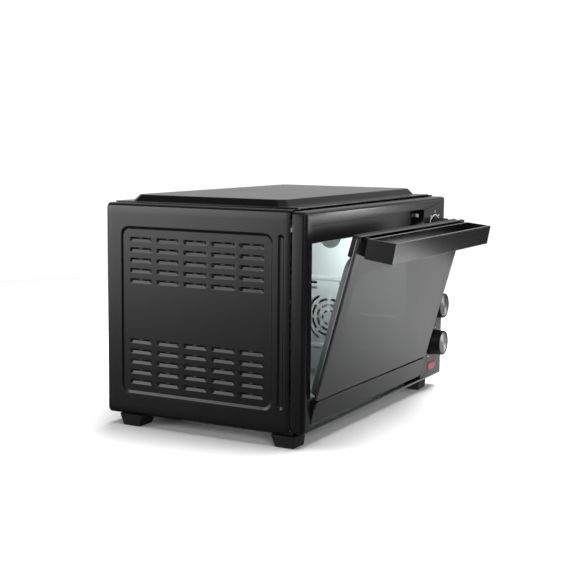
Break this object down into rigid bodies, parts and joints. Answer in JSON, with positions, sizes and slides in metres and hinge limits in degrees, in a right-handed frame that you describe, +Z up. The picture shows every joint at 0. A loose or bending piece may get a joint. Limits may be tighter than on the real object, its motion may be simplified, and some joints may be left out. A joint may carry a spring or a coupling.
{
  "type": "toaster oven",
  "caption": "Countertop convection toaster oven with a drop-down glass door shown ajar, bar handle, control column, louvred side panels, raised lid and a lit lined cavity.",
  "frame": {"origin": "centre of the bounding box in plan, on the worktop", "axes": "+X to the right seen from the front, along the width; +Y to the rear; +Z up; the door faces -Y"},
  "size_m": [0.48, 0.4154, 0.3145],
  "materials": {
    "front_enamel": "satin black enamel on pressed steel",
    "casing_enamel": "satin black enamel on folded sheet steel",
    "lid_enamel": "satin black enamel, slightly lighter with heat and dust",
    "handle_enamel": "fine satin black coating",
    "foot_rubber": "matte moulded",
    "black_plastic": "moulded, semi-matte",
    "white_print": "flat white",
    "galvanised": "zinc-coated sheet, dull",
    "screw_steel": "zinc-plated",
    "spring_steel": "oiled spring wire",
    "cavity_steel": "aluminised sheet, semi-bright",
    "tray_steel": "aluminised sheet, semi-bright",
    "door_steel": "dark grey coated sheet",
    "heater_sheath": "oxidised tubular sheath",
    "ceramic": "white steatite",
    "phenolic": "phenolic moulding",
    "motor_steel": "stacked laminations",
    "fan_aluminium": "pressed blades",
    "copper": "drawn copper capillary",
    "brass": "turned",
    "knob_metal": "spun face",
    "door_glass": "tinted tempered glass",
    "window_glass": "clear tempered glass",
    "lamp_glass": "pressed glass",
    "lamp_glow": "lit bulb",
    "pilot_red": "translucent red",
    "pilot_neon": "neon tube"
  },
  "bodies": {
    "housing": {"front_frame": "front_enamel", "fascia_marks": "white_print", "side_panel_left": "casing_enamel", "side_panel_right": "casing_enamel", "top_cover": "lid_enamel", "rear_cover": "casing_enamel", "base_plate": "galvanised", "feet": "foot_rubber", "foot_screws": "screw_steel", "cover_screws": "screw_steel", "cavity_liner": "cavity_steel", "cavity_rear_wall": "cavity_steel", "crumb_tray": "tray_steel", "lower_heater": "heater_sheath", "upper_heater": "heater_sheath", "heater_bushes": "ceramic", "fan_grille": "cavity_steel", "fan_housing": "galvanised", "fan_motor": "motor_steel", "fan_bracket": "galvanised", "lamp_lens": "lamp_glass", "lamp_housing": "galvanised", "lamp_bulb": "lamp_glow", "upper_thermostat": "phenolic", "lower_thermostat": "phenolic", "thermostat_sensors": "copper", "function_switch": "ceramic", "timer": "galvanised", "control_bracket": "galvanised", "pilot_lens": "pilot_red", "pilot_lamp": "pilot_neon", "hinge_bracket_left": "galvanised", "hinge_bracket_right": "galvanised", "door_springs": "spring_steel", "door_bumper": "white_print", "terminal_block": "ceramic", "cord_gland": "black_plastic"},
    "door": {"door_glass": "door_glass", "door_tray": "door_steel", "door_window": "window_glass", "door_rail": "black_plastic", "door_strip": "front_enamel", "handle": "handle_enamel", "handle_standoffs": "black_plastic", "handle_screws": "screw_steel", "hinge_pins": "screw_steel"},
    "fan": {"fan_blade": "fan_aluminium", "fan_shaft": "screw_steel"},
    "upper_heat_dial": {"upper_heat_knob": "black_plastic", "upper_heat_cap": "knob_metal", "upper_heat_shaft": "brass"},
    "lower_heat_dial": {"lower_heat_knob": "black_plastic", "lower_heat_cap": "knob_metal", "lower_heat_shaft": "brass"},
    "function_dial": {"function_knob": "black_plastic", "function_cap": "knob_metal", "function_shaft": "brass"},
    "timer_dial": {"timer_knob": "black_plastic", "timer_cap": "knob_metal", "timer_shaft": "brass"}
  },
  "joints": [
    {"name": "door_hinge", "type": "hinge", "parent": "housing", "child": "door", "pos_m": [0, -0.09121, 0.0359], "axis": [1, 0, 0], "range_deg": [-15.3, 68]},
    {"name": "fan_spin", "type": "hinge", "parent": "housing", "child": "fan", "pos_m": [0.152, 0.05229, 0.11], "axis": [1, 0, 0], "continuous": true},
    {"name": "upper_heat_turn", "type": "hinge", "parent": "housing", "child": "upper_heat_dial", "pos_m": [0.196, -0.10821, 0.2515], "axis": [0, 1, 0], "range_deg": [0, 270]},
    {"name": "lower_heat_turn", "type": "hinge", "parent": "housing", "child": "lower_heat_dial", "pos_m": [0.196, -0.10821, 0.193], "axis": [0, 1, 0], "range_deg": [0, 270]},
    {"name": "function_turn", "type": "hinge", "parent": "housing", "child": "function_dial", "pos_m": [0.196, -0.10821, 0.1345], "axis": [0, 1, 0], "range_deg": [0, 240]},
    {"name": "timer_turn", "type": "hinge", "parent": "housing", "child": "timer_dial", "pos_m": [0.196, -0.10821, 0.076], "axis": [0, 1, 0], "range_deg": [0, 300]}
  ]
}
